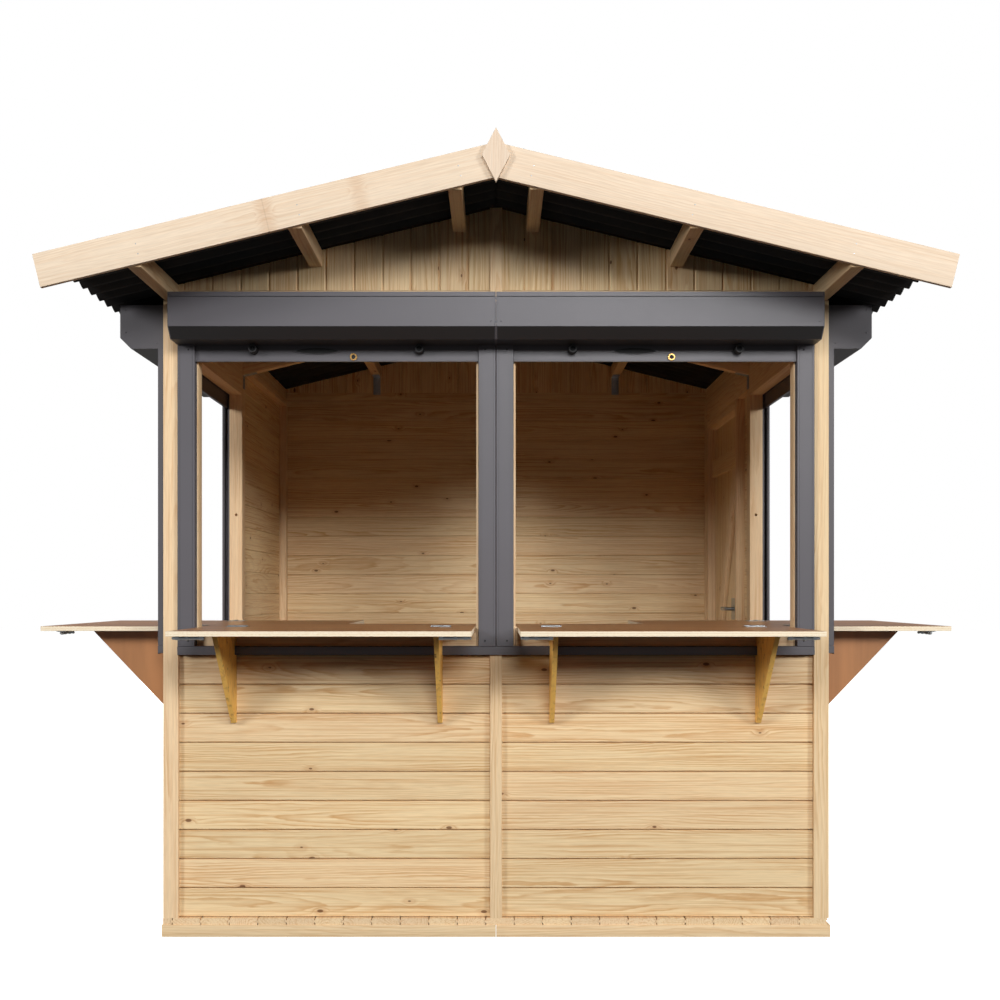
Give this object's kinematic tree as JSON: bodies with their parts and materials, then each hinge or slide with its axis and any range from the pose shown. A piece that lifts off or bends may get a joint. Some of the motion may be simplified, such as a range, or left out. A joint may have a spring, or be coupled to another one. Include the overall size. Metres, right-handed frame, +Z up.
{
  "type": "wooden market stall",
  "caption": "Boarded timber market hut with a gable roof, roller-shuttered serving openings, fold-up counters on triangular brackets and a ledged side door.",
  "frame": {"origin": "centre of the base, on the ground", "axes": "+X to the hut's right-hand side, +Y to the back, +Z up"},
  "size_m": [3.52, 3.54, 2.8475],
  "materials": {
    "spruce_boards": "planed profiled boards, untreated, satin",
    "planed_spruce": "planed timber, untreated, satin",
    "anthracite_aluminium": "powder-coated aluminium, fine matt texture",
    "film_faced_plywood": "birch plywood with a smooth brown phenolic film",
    "zinc_steel": "zinc-plated steel",
    "rubber": "moulded black rubber",
    "bitumen_sheet": "corrugated bitumen fibre sheet, dull black"
  },
  "bodies": {
    "hut": {"base_beams": "spruce_boards", "floor_joists": "spruce_boards", "floor": "spruce_boards", "front_wall": "spruce_boards", "left_wall_front": "spruce_boards", "left_wall_rear": "spruce_boards", "right_wall_front": "spruce_boards", "right_wall_by_door": "spruce_boards", "right_wall_over_door": "spruce_boards", "rear_wall": "spruce_boards", "front_gable": "spruce_boards", "rear_gable": "spruce_boards", "corner_posts": "planed_spruce", "middle_posts": "planed_spruce", "rear_corner_battens": "planed_spruce", "headers": "planed_spruce", "top_plates": "planed_spruce", "timber_sills": "planed_spruce", "corner_trims": "planed_spruce", "centre_battens": "planed_spruce", "sill_profiles": "anthracite_aluminium", "shutter_boxes": "anthracite_aluminium", "guide_rails": "anthracite_aluminium", "end_slats": "anthracite_aluminium", "slat_stops": "rubber", "counter_hinges": "zinc_steel", "counter_brackets": "film_faced_plywood", "worktops": "film_faced_plywood", "worktop_supports": "planed_spruce", "door_frame": "planed_spruce", "door_hinge_pins": "zinc_steel", "purlins": "planed_spruce", "rafters": "planed_spruce", "roof_left": "bitumen_sheet", "roof_right": "bitumen_sheet", "ridge_cap": "bitumen_sheet", "bargeboards": "planed_spruce", "diamonds": "planed_spruce"},
    "front_left_counter": {"counter_front_left": "film_faced_plywood", "fittings_front_left": "zinc_steel"},
    "front_right_counter": {"counter_front_right": "film_faced_plywood", "fittings_front_right": "zinc_steel"},
    "left_counter": {"counter_left": "film_faced_plywood", "fittings_left": "zinc_steel"},
    "right_counter": {"counter_right": "film_faced_plywood", "fittings_right": "zinc_steel"},
    "side_door": {"door": "spruce_boards", "door_ledges": "planed_spruce", "door_straps": "zinc_steel", "door_lock": "zinc_steel"}
  },
  "joints": [
    {"name": "front_left_counter_fold", "type": "hinge", "parent": "hut", "child": "front_left_counter", "pos_m": [-0.598, -1.17, 1.165], "axis": [-1, 0, 0], "range_deg": [0, 90]},
    {"name": "front_right_counter_fold", "type": "hinge", "parent": "hut", "child": "front_right_counter", "pos_m": [0.598, -1.17, 1.165], "axis": [-1, 0, 0], "range_deg": [0, 90]},
    {"name": "left_counter_fold", "type": "hinge", "parent": "hut", "child": "left_counter", "pos_m": [-1.19, -0.598, 1.165], "axis": [0, 1, 0], "range_deg": [0, 90]},
    {"name": "right_counter_fold", "type": "hinge", "parent": "hut", "child": "right_counter", "pos_m": [1.19, -0.598, 1.165], "axis": [0, -1, 0], "range_deg": [0, 90]},
    {"name": "side_door_swing", "type": "hinge", "parent": "hut", "child": "side_door", "pos_m": [1.258, 1.092, 1.138], "axis": [0, 0, 1], "range_deg": [0, 110]}
  ]
}
